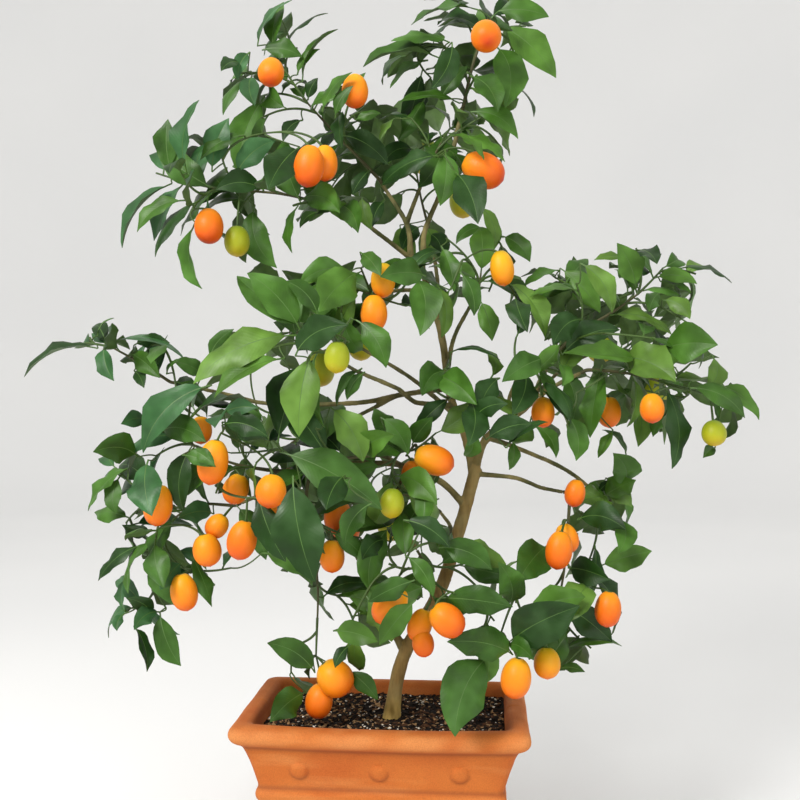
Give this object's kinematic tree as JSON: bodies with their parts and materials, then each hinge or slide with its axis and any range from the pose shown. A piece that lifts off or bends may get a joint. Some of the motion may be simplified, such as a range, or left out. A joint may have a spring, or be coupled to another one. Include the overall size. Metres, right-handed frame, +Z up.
{
  "type": "potted kumquat tree",
  "caption": "Small kumquat tree with bending boughs, glossy pointed leaves and oval orange fruit, planted in a rectangular terracotta pot with a moulded rim.",
  "frame": {"origin": "centre of the flat underside of the pot, level with what it stands on", "axes": "+Z up; X along the pot's long side; -Y is the front that the picture shows"},
  "size_m": [0.7313, 0.4768, 0.9133],
  "materials": {
    "terracotta": "matte",
    "soil": "rough",
    "bark": "rough",
    "foliage": "satin"
  },
  "bodies": {
    "root": {"back_left_bough": "bark", "back_left_foliage": "foliage", "back_low_bough": "bark", "back_low_foliage": "foliage", "back_right_bough": "bark", "back_right_foliage": "foliage", "back_upper_bough": "bark", "back_upper_foliage": "foliage", "centre_bough": "bark", "centre_foliage": "foliage", "centre_left_bough": "bark", "centre_left_foliage": "foliage", "centre_right_bough": "bark", "centre_right_foliage": "foliage", "far_left_bough": "bark", "far_left_foliage": "foliage", "fork_bough": "bark", "fork_foliage": "foliage", "front_hanging_bough": "bark", "high_left_bough": "bark", "high_left_foliage": "foliage", "leader": "bark", "left_bough": "bark", "left_foliage": "foliage", "left_front_bough": "bark", "left_front_foliage": "foliage", "left_hanging_bough": "bark", "left_inner_bough": "bark", "left_inner_foliage": "foliage", "left_low_foliage": "foliage", "low_left_bough": "bark", "low_left_foliage": "foliage", "lower_middle_foliage": "foliage", "lower_right_foliage": "foliage", "middle_bough": "bark", "middle_foliage": "foliage", "pot": "terracotta", "right_arching_bough": "bark", "right_arching_foliage": "foliage", "right_back_bough": "bark", "right_back_foliage": "foliage", "right_bough": "bark", "right_foliage": "foliage", "right_inner_bough": "bark", "right_inner_foliage": "foliage", "right_low_bough": "bark", "soil": "soil", "top_bough": "bark", "top_foliage": "foliage", "trunk": "bark", "upper_left_bough": "bark", "upper_left_foliage": "foliage", "upper_middle_bough": "bark", "upper_middle_foliage": "foliage"}
  },
  "joints": []
}
